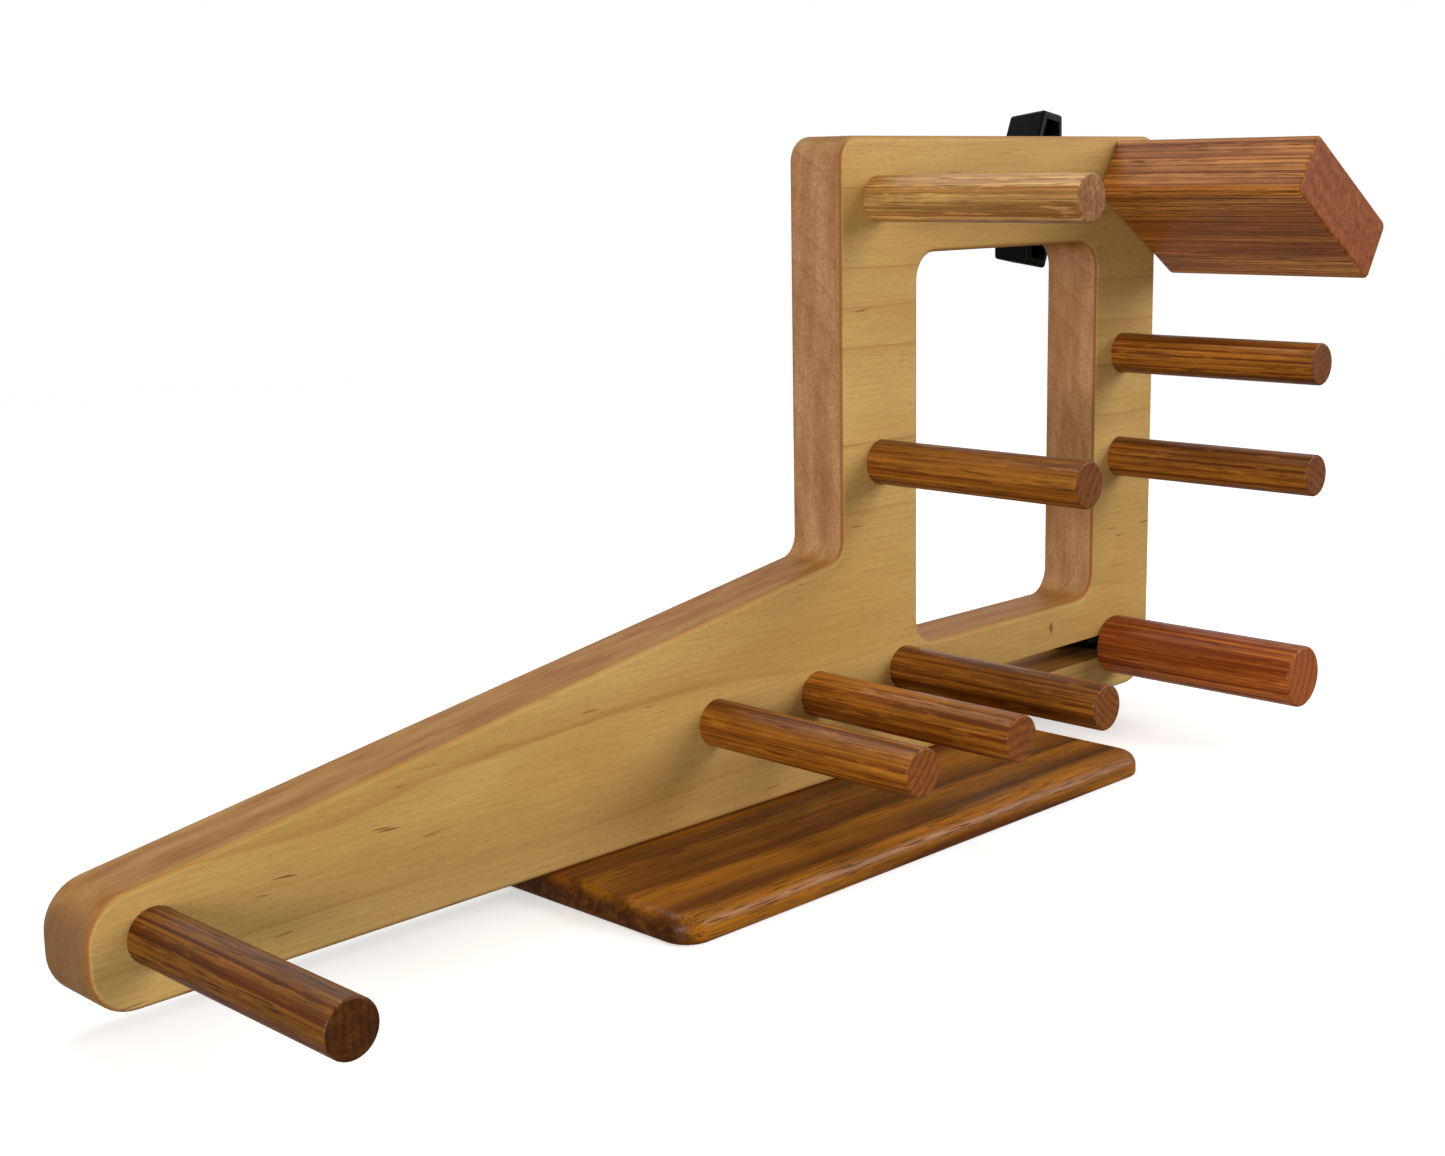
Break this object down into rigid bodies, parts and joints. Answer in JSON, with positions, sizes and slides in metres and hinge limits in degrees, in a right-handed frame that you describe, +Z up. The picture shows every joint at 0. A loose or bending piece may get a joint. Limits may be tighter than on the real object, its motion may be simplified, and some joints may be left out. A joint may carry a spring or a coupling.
{
  "type": "inkle loom",
  "caption": "Single-sided table loom for narrow bands: board with a low arm, round warp pegs, sliding tension peg, swinging tension paddle and foot plate.",
  "frame": {"origin": "centre of the foot plate's flat underside, on the table", "axes": "+X along the board from the low arm towards the upright, +Y towards the clamp knobs at the back, so the pegs point along -Y, and +Z up"},
  "size_m": [0.408, 0.1178, 0.1961],
  "materials": {
    "maple": "oiled hard maple, satin",
    "oak_dowel": "oiled red oak dowel, satin",
    "red_oak": "oiled red oak, satin",
    "brown_oak": "oiled oak, satin",
    "black_plastic": "fine matte moulded",
    "black_steel": "black oxide",
    "brass": "machined",
    "zinc_steel": "zinc plated"
  },
  "bodies": {
    "loom_frame": {"frame_board": "maple", "foot_plate": "brown_oak", "foot_screws": "zinc_steel", "front_peg": "oak_dowel", "lower_peg_left": "oak_dowel", "lower_peg_middle": "oak_dowel", "lower_peg_right": "oak_dowel", "top_peg": "oak_dowel", "heddle_peg": "oak_dowel", "rear_peg_upper": "oak_dowel", "rear_peg_lower": "oak_dowel"},
    "tension_peg": {"tension_peg": "red_oak", "tension_insert": "brass"},
    "tension_washer": {"tension_washer": "black_steel"},
    "tension_knob": {"tension_knob": "black_plastic", "tension_stud": "black_steel"},
    "tension_paddle": {"tension_paddle": "red_oak", "paddle_insert": "brass"},
    "paddle_washer": {"paddle_washer": "black_steel"},
    "paddle_knob": {"paddle_knob": "black_plastic", "paddle_stud": "black_steel"}
  },
  "joints": [
    {"name": "tension_peg_slide", "type": "slide", "parent": "loom_frame", "child": "tension_peg", "axis": [1, 0, 0], "range_m": [-0.0649, 0.0027]},
    {"name": "tension_washer_shift", "type": "slide", "parent": "tension_peg", "child": "tension_washer", "axis": [0, 1, 0], "range_m": [0, 0.00127]},
    {"name": "tension_knob_turn", "type": "hinge", "parent": "tension_washer", "child": "tension_knob", "pos_m": [0.1496, 0.03165, 0.02243], "axis": [0, 1, 0], "range_deg": [0, 360]},
    {"name": "paddle_swing", "type": "hinge", "parent": "loom_frame", "child": "tension_paddle", "pos_m": [0.1538, 0.0109, 0.1705], "axis": [0, 1, 0], "continuous": true},
    {"name": "paddle_washer_shift", "type": "slide", "parent": "tension_paddle", "child": "paddle_washer", "axis": [0, 1, 0], "range_m": [0, 0.00127]},
    {"name": "paddle_knob_turn", "type": "hinge", "parent": "paddle_washer", "child": "paddle_knob", "pos_m": [0.1538, 0.03165, 0.1705], "axis": [0, 1, 0], "range_deg": [0, 360]}
  ],
  "couplings": [
    {"joint": "tension_knob_turn", "follows": "tension_washer_shift", "rad_per_m": 4947.4},
    {"joint": "paddle_knob_turn", "follows": "paddle_washer_shift", "rad_per_m": 4947.4}
  ]
}
